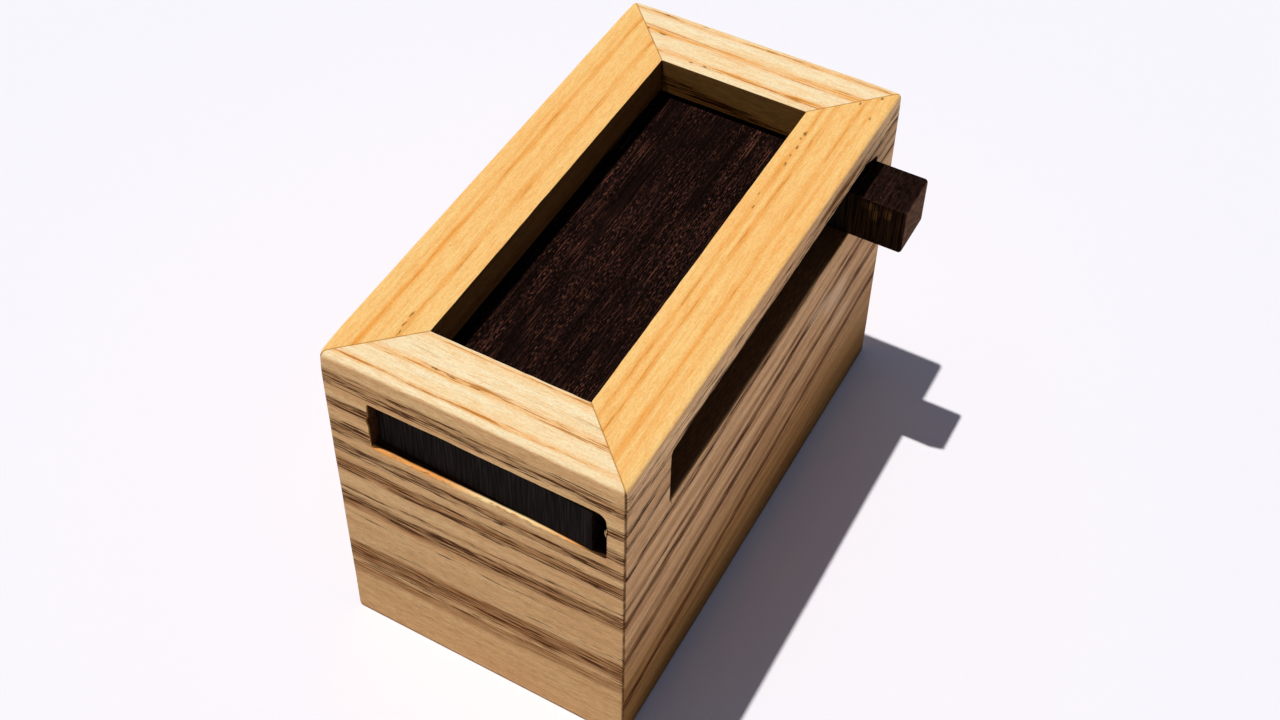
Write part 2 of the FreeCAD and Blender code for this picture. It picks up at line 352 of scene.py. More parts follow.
def layGrain(add, place, along, across, look):
    # colour and relief of one kind of face: clear wood, brown zones, rows of vessels
    grain = ashGrain
    field = {name: grainField(add, place, size) for name, size in grain["fields"].items()}
    driftBy, frayBy = grain["driftBy"] * look["wander"], grain["frayBy"] * look["wander"]
    drift = add("MapRange", [field["drift"], 0, 1, -driftBy, driftBy])
    fray = add("MapRange", [field["fray"], 0, 1, -frayBy, frayBy])
    wander = add("Math", [drift, fray], operation="ADD")
    at = add("Math", [across, wander], operation="ADD")
    shown = {}
    for name, (source, low, high, most) in grain["shown"].items():
        shown[name] = add("MapRange", [field[source], low, high, look[name], most])
    rows = zoneCurve(add, at, look["rows"], look["span"], grain["rowEdge"])
    rows = add("Math", [rows, shown["broken"]], operation="MULTIPLY")
    stains = zoneCurve(add, at, look["stains"], look["span"], grain["stainEdge"])
    stains = addSpots(add, stains, along, across, look["smudges"])

    # brown wood is drawn in lines too, and lies darkest where the vessels crowd
    for name in ("lined", "even"):
        stains = add("Math", [stains, shown[name]], operation="MULTIPLY")

    # the stronger the row, the more of it is vessels
    lines = add("Math", [field["row"], grain["rowShare"]], operation="MULTIPLY")
    mixed = add("Math", [field["vessel"], 1 - grain["rowShare"], lines], operation="MULTIPLY_ADD")
    score = add("Math", [rows, look["density"], mixed], operation="MULTIPLY_ADD")
    dark = add("MapRange", [score, *grain["marks"]])
    weight = add("MapRange", [rows, 0.0, grain["fullRow"], look["stray"]])
    marks = add("Math", [dark, weight], operation="MULTIPLY")
    flecks = addSpots(add, 0.0, along, across, look["spots"])

    streak = add("MapRange", [field["streak"], *grain["streakShown"]])
    fibre = add("MapRange", [field["fibre"], *grain["fibreShown"], look["fibre"]])
    stained = add("Math", [stains, look["stainShare"]], operation="MULTIPLY", use_clamp=True)
    opened = add("Math", [marks, look["vesselShare"]], operation="MULTIPLY")
    flecked = add("Math", [flecks, grain["fleckShare"]], operation="MULTIPLY")
    colour = look["clear"]
    for share, tone in ((streak, look["warm"]), (fibre, look["stain"]), (stained, look["stain"]),
                        (opened, look["vessel"]), (flecked, grain["fleck"])):
        colour = add("Mix", [share, colour, tone])
    relief = add("Math", [fibre, -0.5, add("Math", [marks, -1.0], operation="MULTIPLY")],
                 operation="MULTIPLY_ADD")
    return colour, relief


def jointLine(add, along, deep, height, onRim, board):
    # dark film of glue at the two mitres
    nearest = None
    for sign, ratio in zip((1.0, -1.0), board["ratios"]):
        fromEnd = add("Math", [along, sign, board["halfLength"]], operation="MULTIPLY_ADD")
        slanted = add("Math", [deep, -ratio, fromEnd], operation="MULTIPLY_ADD")
        distance = add("Math", [slanted, math.hypot(1, ratio)], operation="DIVIDE")
        nearest = add("Math", [distance, nearest or distance], operation="MINIMUM")
    width = ashGrain["glueWidth"]
    finer = add("MapRange", [onRim, 0, 1, 1.0, ashGrain["glueFiner"]])
    nearest = add("Math", [nearest, finer], operation="MULTIPLY")
    line = add("MapRange", [nearest, width, width * 2, 1.0, 0.0])
    broken = grainField(add, add("CombineXYZ", [deep, height]), ashGrain["glueBreaks"])
    strength = add("MapRange", [broken, *ashGrain["glueShows"]])
    # on the rim the glue line takes a colour drawn as in strong sun: painted light
    film = add("Mix", [onRim, ashGrain["glue"], ashGrain["sunlitRimGlue"]])
    return add("Math", [line, strength], operation="MULTIPLY"), film


def paintedFootShade(add, height, stops):
    # painted shade, darker towards the foot; a stop is a height in mm and the shade there
    share = add("Math", [height, box["height"]], operation="DIVIDE")
    ramp = add("ValToRGB", [share])
    elements = ramp.color_ramp.elements
    elements.remove(elements[0])
    for at, footShade in stops[:-1]:
        elements.new(at / box["height"]).color = linear(footShade)
    elements[-1].position = stops[-1][0] / box["height"]
    elements[-1].color = linear(stops[-1][1])
    return ramp


def oiledAsh(name, board):
    # ash, planed, sanded and oiled: close to matte, with open vessels that catch the light
    material, add = newMaterial(name)
    along, deep, height, place = boardPlace(add, board)
    face, rim = board["face"], board["rim"]
    travel = add("MapRange", [along, -board["halfLength"], board["halfLength"]], clamp=False)
    lowered = add("Math", [travel, -face["rise"], height], operation="MULTIPLY_ADD")
    narrowed = add("Math", [travel, -face["spread"], 1.0], operation="MULTIPLY_ADD")
    levelled = add("Math", [lowered, narrowed], operation="DIVIDE")
    across = add("Math", [deep, ashGrain["ringTilt"], levelled], operation="MULTIPLY_ADD")
    faceColour, faceRelief = layGrain(add, place, along, across, face)
    rimAcross = add("Math", [travel, -rim["rise"], deep], operation="MULTIPLY_ADD")
    rimColour, rimRelief = layGrain(add, place, along, rimAcross, rim)

    palePatch = addSpots(add, 0.0, along, height, face["palePatch"])
    palePatch = add("Math", [palePatch, ashGrain["palePatchShare"]], operation="MULTIPLY")
    faceColour = add("Mix", [palePatch, faceColour, ashGrain["palePatch"]])
    # painted shade: each face darkens towards the foot
    footShade = paintedFootShade(add, height, face["footShadeStops"])
    faceColour = add("Mix", [1.0, faceColour, footShade], blend_type="MULTIPLY")
    # painted shade: the inner faces are darkened, as the inside of the box lies in shade
    inside = add("MapRange", [deep, board["thickness"] - 0.3, board["thickness"] - 0.1])
    faceColour = add("Mix", [inside, faceColour, board["paintedInsideShade"]], blend_type="MULTIPLY")
    normal = add("SeparateXYZ", [add("TexCoord").outputs["Normal"]])
    onRim = add("MapRange", [normal.outputs["Z"], 0.35, 0.75])
    # upward faces take the rim's look, its grain drawn pale orange as in strong sun: partly painted
    # light
    colour = add("Mix", [onRim, faceColour, rimColour])
    relief = add("Mix", [onRim, faceRelief, rimRelief], data_type="FLOAT")
    grit = add("MapRange", [grainField(add, place, ashGrain["grit"], 3.0), 0.32, 0.68,
                            *ashGrain["gritTones"]])
    colour = add("VectorMath", {"Vector": colour, "Scale": grit}, operation="SCALE")
    joint, film = jointLine(add, along, deep, height, onRim, board)
    colour = add("Mix", [joint, colour, film])
    finishWood(add, colour, "oiled", relief)
    return material


sawnGrain = {
    "fibre": (1.6, 0.15),
    "endWall": (0.6, 0.85),          # how squarely a wall has to face along the board
    "torn": (0.45, 0.7, 0.0, 0.6),
}


def sawnAsh(name, board, look):
    # the walls of a slot, straight from the saw: fibrous, pale at the broken lip, dark inside; the
    # pale lip is partly a painted highlight, the dark inside partly painted shade
    material, add = newMaterial(name)
    along, deep, height, place = boardPlace(add, board)
    fibres = grainField(add, place, sawnGrain["fibre"], 3.0)
    normal = add("SeparateXYZ", [add("TexCoord").outputs["Normal"]])
    facing = add("Math", [normal.outputs[0 if board["alongX"] else 1]], operation="ABSOLUTE")
    endWall = add("MapRange", [facing, *sawnGrain["endWall"]])
    inner = add("MapRange", [deep, *look["lipDeep"]])
    inner = add("Math", [inner, endWall], operation="MAXIMUM")
    inner = add("Math", [inner, add("MapRange", [along, *look["lipEnd"]])], operation="MAXIMUM")
    centre, reach = look["paleAt"]
    away = add("Math", [add("Math", [along, centre], operation="SUBTRACT")], operation="ABSOLUTE")
    pale = add("MapRange", [away, reach * 0.3, reach, 1.0, 0.0])
    lip = add("Mix", [pale, look["lip"], look["pale"]])
    atLip = add("MapRange", [height, *look["lipHeight"]])
    torn = add("MapRange", [fibres, *sawnGrain["torn"]])
    torn = add("Math", [torn, inner], operation="MULTIPLY")
    # painted highlight at the lip and painted shade on the walls inside, over the sawn colour
    colour = look["edge"]
    for share, tone in ((atLip, lip), (inner, look["wall"]), (torn, look["torn"])):
        colour = add("Mix", [share, colour, tone])
    finishWood(add, colour, "sawn", fibres)
    return material


def twoToneWood(name, size, shown, colours, finish):
    material, add = newMaterial(name)
    fleck = add("MapRange", [grainField(add, objectPlace(add), size), *shown])
    finishWood(add, add("Mix", [fleck, *colours]), finish)
    return material


# fibres pulled up at a cut edge: pale and dry
torn = twoToneWood("torn ash fibre", (0.8, 0.8), (0.35, 0.65), ("#F0AE68", "#FFDFA8"), "torn")
# beech dowel, turned: pale pink brown with short dark flecks
beech = twoToneWood("turned beech", (0.9, 0.12), (0.56, 0.7), ("#D9B48C", "#A87B52"), "turned")


# Each mark has a length along the grain and a width across it, the noise's detail, and the
# part of the noise that shows, with its values at both ends where they aren't 0 and 1.
wengeGrain = {
    "marks": {
        "layer": ((14.0, 0.22), 2.0, (0.38, 0.66)),              # dark and less dark layers
        "dash": ((0.75, 0.11), 1.0, (0.56, 0.74)),               # light flecks of soft tissue
        "line": ((7.0, 0.1), 1.0, (0.64, 0.76)),                 # and a few that run on
        "column": ((60.0, 0.34), 2.0, (0.42, 0.6, 0.2, 1.0)),    # flecks one behind the other
        "patch": ((13.0, 3.0), 2.0, (0.36, 0.64, 0.15, 0.8)),
        "tooth": ((6.0, 0.2), 2.0, (0.42, 0.72)),                # saw marks down a cut end
        "mottle": ((0.9, 0.5), 3.0, (0.38, 0.68)),               # the sanded end of the lever
    },
    "leverDashes": 0.45,         # the lever shows fewer flecks than the lid
    "handledShare": 0.06,
    "leverFrom": 19.0,           # the lever's cut end is browner than the lid's
    "scuffs": [(23.3, 45.0, 1.1, 0.9), (24.1, 43.7, 0.9, 1.3), (25.8, 44.6, 0.7, 1.1)],
    "colours": {
        "ground": "#070201", "layer": "#150A08", "dash": "#8A5440", "arris": "#4A2E24",
        "end": "#110B0A", "endMark": "#2B2421", "leverEnd": "#0E0603", "leverMark": "#3C2514",
        "scuff": "#6E4A2A", "side": "#462C1D", "sideMark": "#78523C",
    },
}


def planedWenge():
    # wenge, planed: near black, dry, with fine broken brown flecks along the grain
    grain, colours = wengeGrain, wengeGrain["colours"]
    material, add = newMaterial("planed wenge")
    x, y, z = add("SeparateXYZ", [objectPlace(add)]).outputs
    place = add("CombineXYZ", [y, x, z])
    upright = add("CombineXYZ", [z, x, y])

    mark = {}
    for name, (size, detail, shown) in grain["marks"].items():
        field = grainField(add, upright if name == "tooth" else place, size, detail)
        mark[name] = add("MapRange", [field, *shown])

    dashes = add("Math", [mark["dash"], mark["column"]], operation="MULTIPLY")
    dashes = add("Math", [dashes, mark["line"]], operation="MAXIMUM")
    dashes = add("Math", [dashes, mark["patch"]], operation="MULTIPLY")
    onLever = add("MapRange", [x, grain["leverFrom"], grain["leverFrom"] + 1])
    fewer = add("MapRange", [onLever, 0, 1, 1.0, grain["leverDashes"]])
    dashes = add("Math", [dashes, fewer], operation="MULTIPLY")
    handled = add("Math", [mark["mottle"], onLever], operation="MULTIPLY")
    faint = add("Math", [handled, grain["handledShare"]], operation="MULTIPLY")
    planed = add("Mix", [mark["layer"], colours["ground"], colours["layer"]])
    planed = add("Mix", [dashes, planed, colours["dash"]])
    planed = add("Mix", [faint, planed, colours["sideMark"]])

    scuffs = addSpots(add, 0.0, x, z, grain["scuffs"])
    scuffed = add("Math", [scuffs, mark["tooth"]], operation="MULTIPLY")
    leverSawn = add("Mix", [mark["tooth"], colours["leverEnd"], colours["leverMark"]])
    leverSawn = add("Mix", [scuffed, leverSawn, colours["scuff"]])
    sawn = add("Mix", [mark["tooth"], colours["end"], colours["endMark"]])
    sawn = add("Mix", [onLever, sawn, leverSawn])
    sanded = add("Mix", [mark["mottle"], colours["side"], colours["sideMark"]])

    facing = add("VectorMath", [add("TexCoord").outputs["Normal"]], operation="ABSOLUTE")
    facing = add("SeparateXYZ", [facing]).outputs
    sideways = add("MapRange", [facing["X"], 0.6, 0.9])
    sideways = add("Math", [sideways, onLever], operation="MULTIPLY")
    atEnd = add("MapRange", [facing["Y"], 0.6, 0.9])
    # handling wears the lever's edges pale
    widest = add("Math", [facing["X"], facing["Y"]], operation="MAXIMUM")
    widest = add("Math", [widest, facing["Z"]], operation="MAXIMUM")
    worn = add("MapRange", [widest, 0.8, 0.97, 1.0, 0.0])
    worn = add("Math", [worn, handled], operation="MULTIPLY")
    colour = add("Mix", [sideways, planed, sanded])
    colour = add("Mix", [atEnd, colour, sawn])
    colour = add("Mix", [worn, colour, colours["arris"]])
    relief = add("Mix", [atEnd, mark["layer"], mark["tooth"]], data_type="FLOAT")
    finishWood(add, colour, "planed", relief)
    return material


unmarked = {"spots": [], "smudges": [], "palePatch": []}     # pores, dark and pale places

# Rows are zones crowded with vessels, stains are zones of brown wood: from, to, strength.
# They count up the left or front end of a face, or inwards over a rim.
longFace = {
    "clear": "#FDD0A1", "warm": "#E0AC7F", "stain": "#744010", "vessel": "#421E06",
    "stainShare": 1.0, "vesselShare": 0.92, "stray": 0.1, "density": 0.12, "broken": 0.3,
    "lined": 0.48, "even": 0.7, "fibre": 0.35, "wander": 0.9, "rise": 12.5, "spread": 0.25,
    "span": 60.0, **unmarked,
    # painted shade towards the foot: a height in mm and the tint there
    "footShadeStops": [(0.0, "#8C7C54"), (10.0, "#BFAF93"), (24.0, "#EFEAE6"), (44.0, "#F0EDEA"),
              (50.0, "#FFFFFF")],
}
shortFace = {
    "clear": "#FDD29B", "warm": "#EFBC85", "stain": "#884C16", "vessel": "#4A2204",
    "stainShare": 0.92, "vesselShare": 0.9, "stray": 0.14, "density": 0.105, "broken": 0.3,
    "lined": 0.45, "even": 0.68, "fibre": 0.4, "wander": 0.8, "rise": 2.7, "spread": 0.057,
    "span": 60.0, **unmarked,
    # painted shade towards the foot: a height in mm and the tint there
    "footShadeStops": [(0.0, "#EAE4DE"), (30.0, "#F6F4F4"), (48.0, "#FFFFFF")],
}
# Rim looks: their bands and vessels are drawn pale orange and faint, as strong sun shows them:
# partly the rim's own grain, partly painted light
sunlitLongRim = {
    "clear": "#F8CB80", "warm": "#F8C276", "stain": "#EC9636", "vessel": "#B06A22",
    "stainShare": 0.8, "vesselShare": 0.35, "stray": 0.05, "density": 0.05, "broken": 0.2,
    "lined": 0.85, "even": 0.5, "fibre": 0.45, "wander": 0.4, "rise": 0.0, "span": 12.0, **unmarked,
}
sunlitShortRim = {
    "clear": "#F8E4B8", "warm": "#F7DAA6", "stain": "#EE9C3A", "vessel": "#A8621A",
    "stainShare": 0.9, "vesselShare": 0.65, "stray": 0.12, "density": 0.1, "broken": 0.3,
    "lined": 0.55, "even": 0.5, "fibre": 0.4, "wander": 0.4, "rise": 0.0, "span": 12.0, **unmarked,
}

boards = {
    "front": {
        "seed": 0.0, "paintedInsideShade": "#BFAA85",
        "face": {
            **shortFace,
            "rows": [(3.7, 4.3, 0.2), (6.7, 7.2, 0.2), (10.0, 12.6, 0.4), (12.7, 14.6, 0.7),
                     (15.1, 15.7, 0.5), (16.5, 17.5, 0.4), (21.3, 22.0, 0.3), (24.0, 26.4, 0.95),
                     (27.0, 27.7, 0.7), (30.4, 32.0, 1.1), (32.1, 33.3, 0.7), (34.5, 36.7, 0.95),
                     (38.1, 40.8, 0.9), (42.7, 44.9, 1.0), (47.4, 49.0, 1.1), (49.1, 50.2, 0.7)],
            "stains": [(8.2, 11.3, 0.65), (11.3, 16.0, 1.0), (16.1, 16.8, 0.2), (23.0, 26.7, 0.9),
                       (26.8, 27.8, 0.4), (30.2, 33.4, 0.9), (34.3, 37.0, 0.7),
                       (37.8, 41.2, 0.75), (42.6, 45.1, 0.8), (47.2, 50.4, 0.65)],
            "spots": [(18.4, 48.0, 0.55, 0.4)]},
        "rim": {
            **sunlitShortRim,
            "rows": [(1.1, 1.8, 0.5), (4.0, 5.1, 0.8), (6.0, 6.5, 0.3), (8.5, 9.1, 0.5)],
            "stains": [(0.9, 2.0, 0.8), (3.8, 5.3, 0.9), (8.2, 9.3, 0.7)],
            "spots": [(-7.1, 4.7, 0.8, 0.13), (-4.9, 4.6, 0.9, 0.17), (-1.6, 4.5, 1.1, 0.13)]},
    },
    "back": {
        "seed": 140.0, "paintedInsideShade": "#B8A070",
        "face": {
            **shortFace, "rise": -2.0,
            "rows": [(3.6, 5.0, 0.8), (9.4, 11.2, 0.9), (14.6, 15.5, 0.6), (19.0, 20.8, 1.0),
                     (24.4, 25.2, 0.6), (29.6, 31.4, 1.0), (35.0, 36.0, 0.7), (39.4, 41.0, 1.0),
                     (44.2, 45.4, 0.7), (48.4, 49.6, 1.0), (50.4, 51.6, 0.7), (53.0, 54.8, 0.7)],
            "stains": [(3.0, 5.4, 0.7), (9.0, 11.8, 0.9), (18.6, 21.4, 0.9), (29.2, 32.0, 0.9),
                       (39.0, 41.8, 0.8), (48.2, 51.8, 0.8), (52.2, 55.2, 0.8)]},
        "rim": {
            **sunlitShortRim,
            "rows": [(0.5, 1.4, 0.4), (3.8, 4.2, 0.5), (4.9, 5.3, 0.4), (8.0, 8.8, 0.5)],
            "stains": [(0.4, 1.7, 0.7), (3.4, 5.6, 1.0), (7.4, 9.0, 0.85)],
            "spots": [(-13.6, 4.9, 0.8, 0.2), (-16.1, 4.6, 0.6, 0.18), (-15.0, 0.8, 0.6, 0.15),
                      (-8.9, 0.6, 0.7, 0.15), (-7.2, 8.5, 0.5, 0.2), (-5.1, 8.4, 0.35, 0.16)]},
    },
    "left": {
        "seed": 310.0, "paintedInsideShade": "#9A825A",
        "face": {
            **longFace, "rise": 5.0, "spread": 0.06,
            "rows": [(5.4, 7.4, 0.8), (11.4, 13.4, 0.9), (18.2, 20.6, 0.9), (25.0, 26.8, 0.9),
                     (31.6, 33.2, 0.8), (38.0, 39.4, 0.8), (43.5, 44.8, 0.9), (48.2, 49.4, 0.7)],
            "stains": [(5.0, 7.8, 0.7), (11.0, 14.0, 0.9), (18.0, 21.0, 0.9), (24.6, 27.2, 0.9),
                       (31.2, 33.6, 0.8), (37.6, 39.8, 0.8), (43.1, 45.2, 0.9), (47.8, 49.8, 0.7)]},
        "rim": {
            **sunlitLongRim,
            "rows": [(2.8, 3.3, 0.5), (6.4, 7.3, 0.4)],
            "stains": [(1.6, 2.4, 0.35), (2.4, 3.7, 0.95), (4.4, 5.0, 0.25), (6.0, 7.5, 0.8)],
            "spots": [(-28.0, 6.4, 0.9, 0.12), (-29.8, 6.5, 0.8, 0.14), (-31.2, 6.7, 0.6, 0.12),
                      (-16.1, 4.1, 0.14, 0.12)]},
    },
    "right": {
        "seed": 520.0, "paintedInsideShade": "#9A825A",
        "face": {
            **longFace,
            "rows": [(7.0, 8.2, 0.65), (17.1, 18.4, 0.75), (19.0, 19.5, 0.35), (25.7, 27.0, 0.85),
                     (28.5, 29.2, 0.6), (35.0, 36.4, 0.8), (37.0, 37.8, 0.4), (41.2, 42.4, 0.8),
                     (44.3, 45.4, 0.9), (47.3, 49.2, 0.75), (49.5, 51.2, 0.55)],
            "stains": [(5.4, 6.4, 0.4), (6.5, 9.2, 1.0), (9.3, 12.0, 0.45), (14.6, 16.2, 0.3),
                       (16.3, 19.4, 1.0), (19.5, 21.8, 0.5), (23.8, 24.9, 0.35),
                       (25.0, 27.6, 1.1), (28.0, 29.8, 0.7), (31.4, 33.2, 0.25),
                       (34.4, 37.0, 0.75), (40.8, 42.8, 0.65), (44.0, 45.8, 0.6),
                       (47.2, 49.4, 0.25)],
            "smudges": [(18.0, 50.3, 9.0, 1.5)],
            "palePatch": [(22.0, 27.6, 4.5, 2.6), (24.5, 21.0, 5.0, 1.4), (16.0, 30.5, 5.0, 1.0)]},
        "rim": {
            **sunlitLongRim,
            "rows": [(3.2, 3.8, 0.4), (6.2, 6.8, 0.5), (7.5, 8.1, 0.4)],
            "stains": [(1.8, 2.7, 0.45), (2.8, 4.3, 0.75), (5.8, 7.1, 0.75), (7.3, 8.5, 0.7)],
            "spots": [(24.3, 8.0, 0.55, 0.3), (23.2, 8.2, 0.3, 0.2), (21.4, 7.8, 0.5, 0.22),
                      (19.6, 7.9, 0.25, 0.15), (17.8, 7.8, 0.45, 0.2), (11.0, 8.3, 0.3, 0.12),
                      (8.6, 7.9, 0.3, 0.12), (33.5, 4.1, 0.35, 0.2), (35.9, 2.0, 0.5, 0.3),
                      (31.3, 1.8, 0.35, 0.2)]},
    },
}

for name, board in boards.items():
    alongX = name in ("front", "back")
    lengthways, sideways = box["halfLength"], box["halfWidth"]
    neighbours = ("left", "right") if alongX else ("front", "back")
    board.update({
        "name": name, "alongX": alongX, "sign": 1 if name in ("back", "right") else -1,
        "halfLength": sideways if alongX else lengthways,
        "outerFace": lengthways if alongX else sideways,
        "thickness": walls[name],
        "groove": grooves[name],
        "ratios": [walls[side] / walls[name] for side in neighbours],     # at its two mitres
    })

# Slot walls: the bright lip lies between two heights, ends between two depths and two
# places along the slot, and is palest at one place.
# The bright lip is partly a painted highlight, and the dark wall partly painted shade.
sawnLooks = {
    "front": {"lip": "#F2A558", "pale": "#FFDDA0", "paleAt": (4.5, 9.0), "edge": "#8C5E34",
              "lipHeight": (39.6, 39.0), "lipDeep": (0.3, 0.6), "lipEnd": (13.5, 16.5),
              "wall": "#2E1A0C", "torn": "#6E4220"},
    "right": {"lip": "#EBC79E", "pale": "#FFEBD2", "paleAt": (-8.0, 22.0), "edge": "#B08458",
              "lipHeight": (45.8, 46.2), "lipDeep": (0.22, 0.4), "lipEnd": (14.0, 18.0),
              "wall": "#6A4829", "torn": "#96693C"},
}

ash = {name: oiledAsh(f"oiled ash {name}", board) for name, board in boards.items()}
sawn = {name: sawnAsh(f"sawn ash {name}", boards[name], look) for name, look in sawnLooks.items()}
grooveLook = {**sawnLooks["right"], "lipDeep": (-1.0, -0.5)}        # the slot's walls, with no lip, in their dark wall colour, which is partly painted shade
grooved = {name: sawnAsh(f"grooved ash {name}", boards[name], grooveLook)
           for name in ("back", "left", "right")}
wenge = planedWenge()
print("materials ready:", ", ".join(material.name for material in bpy.data.materials))


# Boards

easing = {
    "edge": 0.5,           # radius of the outer edges, broken with abrasive paper
    "wander": 0.1,         # how much that radius comes and goes
    "wave": 7.0,           # over this length
    # the rim's corners are worn rounder still, by this much and over this reach
    "corners": {(-1, -1): 0.55, (1, -1): 0.5, (1, 1): 0.2, (-1, 1): 0.15},
    "cornerReach": 2.4,
    "innerEdge": 0.14,     # inner edge of the rim, only just broken
    "innerWander": 0.06,
    "innerWave": 2.5,
    "glueDip": 0.025,      # the joint line lies a hair below the wood
    # distances from an edge that get a line of points
    "near": (0.0, 0.08, 0.2, 0.36, 0.55, 0.8, 1.2, 1.8, 2.8, 4.2),
    "nearEnd": (0.0, 0.12, 0.3, 0.55, 1.0, 1.6),
    "step": 2.4,           # and between the sections along a board
    "smooth": 32,          # degrees, up to which two faces shade as one
}


def boardSection(board):
    # closed outline across a board: outer face up, rim, inner face down, base
    height, near = box["height"], easing["near"]
    thickness, inner = board["thickness"], easing["innerEdge"]
    middle = [height * part / 8 for part in range(1, 8)]
    outline = [(0.0, up) for up in (*near, *middle, *[height - up for up in reversed(near)])]
    outline += [(deep, height) for deep in near[1:]]
    outline += [(thickness * part / 8, height) for part in (5, 6, 7)]
    outline += [(thickness - inner, height), (thickness - inner * 0.3, height - inner * 0.3),
                (thickness, height - inner)]
    if board["groove"]:
        wall = thickness - board["groove"]
        outline += [(thickness, channel["top"]), (wall, channel["top"]),
                    (wall, channel["floor"]), (thickness, channel["floor"])]
    rabbet = box["endRabbet"] if board["alongX"] else box["sideRabbet"]
    outline += [(thickness, panelHigh.z), (thickness - rabbet, panelHigh.z),
                (thickness - rabbet, 0.0)]
    outline += [(deep, 0.0) for deep in reversed(near[1:])]
    return outline


def boardPoint(board, along, deep, height):
    # from a place on a board to one in the box
    outward = board["sign"] * (board["outerFace"] - deep)
    return Vector((along, outward, height) if board["alongX"] else (outward, along, height))


def betweenMitres(board, share, deep):
    # how far along a share of the board's length is, at this depth
    start = -board["halfLength"] + deep * board["ratios"][0]
    end = board["halfLength"] - deep * board["ratios"][1]
    return start + (end - start) * share


def easePoint(point):
    # rounds the box's outer edges and corners, with a radius that wanders a little
    radius = easing["edge"] + easing["wander"] * noise.noise(point / easing["wave"])
    for (sideways, lengthways), wear in easing["corners"].items():
        corner = Vector((sideways * box["halfWidth"], lengthways * box["halfLength"],
                         box["height"]))
        radius += wear * math.exp(-((point - corner).length / easing["cornerReach"]) ** 2)
    low = Vector((-box["halfWidth"] + radius, -box["halfLength"] + radius, radius))
    high = Vector((box["halfWidth"] - radius, box["halfLength"] - radius, box["height"] - radius))
    core = Vector([min(max(value, least), most) for value, least, most in zip(point, low, high)])
    out = point - core
    if out.length > radius:
        point = core + out.normalized() * radius
    return point, out


def addObject(name, build, material):
    # closes the bmesh, with normals outward, in metres
    bmesh.ops.recalc_face_normals(build, faces=build.faces)
    bmesh.ops.scale(build, vec=(metres, metres, metres), verts=build.verts)
    mesh = bpy.data.meshes.new(name)
    build.to_mesh(mesh)
    build.free()
    mesh.materials.append(material)
    made = bpy.data.objects.new(name, mesh)
    scene.collection.objects.link(made)
    return made


def handOver(made, body):
    # a finished piece rides on its body
    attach(made, body)
    print(made.name, len(made.data.polygons), "faces")


def skin(build, rings):
    # closed skin over rings of points, with a flat cap at each end
    made = [[build.verts.new(point) for point in ring] for ring in rings]
    for first, second in zip(made, made[1:]):
        for index in range(len(first)):
            following = (index + 1) % len(first)
            build.faces.new((first[index], first[following], second[following], second[index]))
    build.faces.new(made[0])
    build.faces.new(reversed(made[-1]))


def solid(name, rings, material):
    build = bmesh.new()
    skin(build, rings)
    return addObject(name, build, material)


def inGroove(face, board):
    # 1 for the floor, wall and roof of the lid's groove, and 0 for the rest of the board
    slack = 0.05
    centre = face.calc_center_median()
    deep = board["outerFace"] - abs(centre.y if board["alongX"] else centre.x)
    level = channel["floor"] - slack < centre.z < channel["top"] + slack
    inside = board["thickness"] - board["groove"] - slack < deep < board["thickness"] - slack
    return int(level and inside and len(face.verts) == 4)


def makeBoard(board):
    outline = boardSection(board)
    length = 2 * board["halfLength"]
    ends = [place / length for place in easing["nearEnd"]]
    count = round(length / easing["step"])
    middle = [index / count for index in range(1, count)]
    stations = ends + middle + [1 - share for share in reversed(ends)]
    rings = []
    for share in stations:
        ring = []
        for deep, height in outline:
            if height > channel["top"] and deep > board["thickness"] - 2 * easing["innerEdge"]:
                wander = noise.noise((share * length / easing["innerWave"], deep, board["seed"]))
                deep += easing["innerWander"] * wander
            along = betweenMitres(board, share, deep)
            point, out = easePoint(boardPoint(board, along, deep, height))
            if share in (0.0, 1.0) and out.length > 0:
                point -= out.normalized() * easing["glueDip"]
            ring.append(point)
        rings.append(ring)
    build = bmesh.new()
    skin(build, rings)
    if board["groove"]:
        for face in build.faces:
            face.material_index = inGroove(face, board)
    made = addObject(f"{board['name']}_board", build, ash[board["name"]])
    if board["groove"]:
        made.data.materials.append(grooved[board["name"]])
    return made


slotEdges = {
    "step": 0.4,                # between the points of a slot's outline
    "mouth": (-1.0, -0.02, 0.06, 0.14, 0.25, 0.38, 0.52, 0.9),    # deep, where the lips are
    "lipWander": 0.45,          # share by which the lip's rounding comes and goes
    "lipWave": 2.2,
    "coarse": (1.6, 1.1, 3.0),  # tears: along, in height and into the board
    "fine": (0.5, 0.35, 1.5),
    "tornDeep": 0.6,            # past this the saw cut is cleaner,
    "cleaner": 0.35,            # with this share of the tears
}


def slotOutline(slot):
    # rounded rectangle, walked anticlockwise: each point and its outward normal
    corners = [("high", "floor", -1, 1), ("high", "top", -1, -1),
               ("low", "top", 1, -1), ("low", "floor", 1, 1)]
    points = []
    for index, (side, level, right, up) in enumerate(corners):
        radius = slot["radii"][index]
        centre = Vector((slot[side] + right * radius, slot[level] + up * radius))
        for step in range(5):
            angle = math.radians(90 * (index - 1 + step / 4))
            normal = Vector((math.cos(angle), math.sin(angle)))
            points.append((centre + normal * radius, normal))
    dense = []
    for (start, startNormal), (end, endNormal) in zip(points, points[1:] + points[:1]):
        pieces = max(1, round((end - start).length / slotEdges["step"]))
        for piece in range(pieces):
            share = piece / pieces
            dense.append((start.lerp(end, share), startNormal.lerp(endNormal, share).normalized()))
    return dense


def thinned(along):
    # how far the worn lip has thinned out on its way to the right
    start, over = frontSlot["thinsOut"]
    return min(max((along - start) / over, 0.0), 1.0)


def tearNoise(kind, point, deep, seed):
    long, high, into = slotEdges[kind]
    return noise.noise((point.x / long, point.y / high, deep / into + seed))


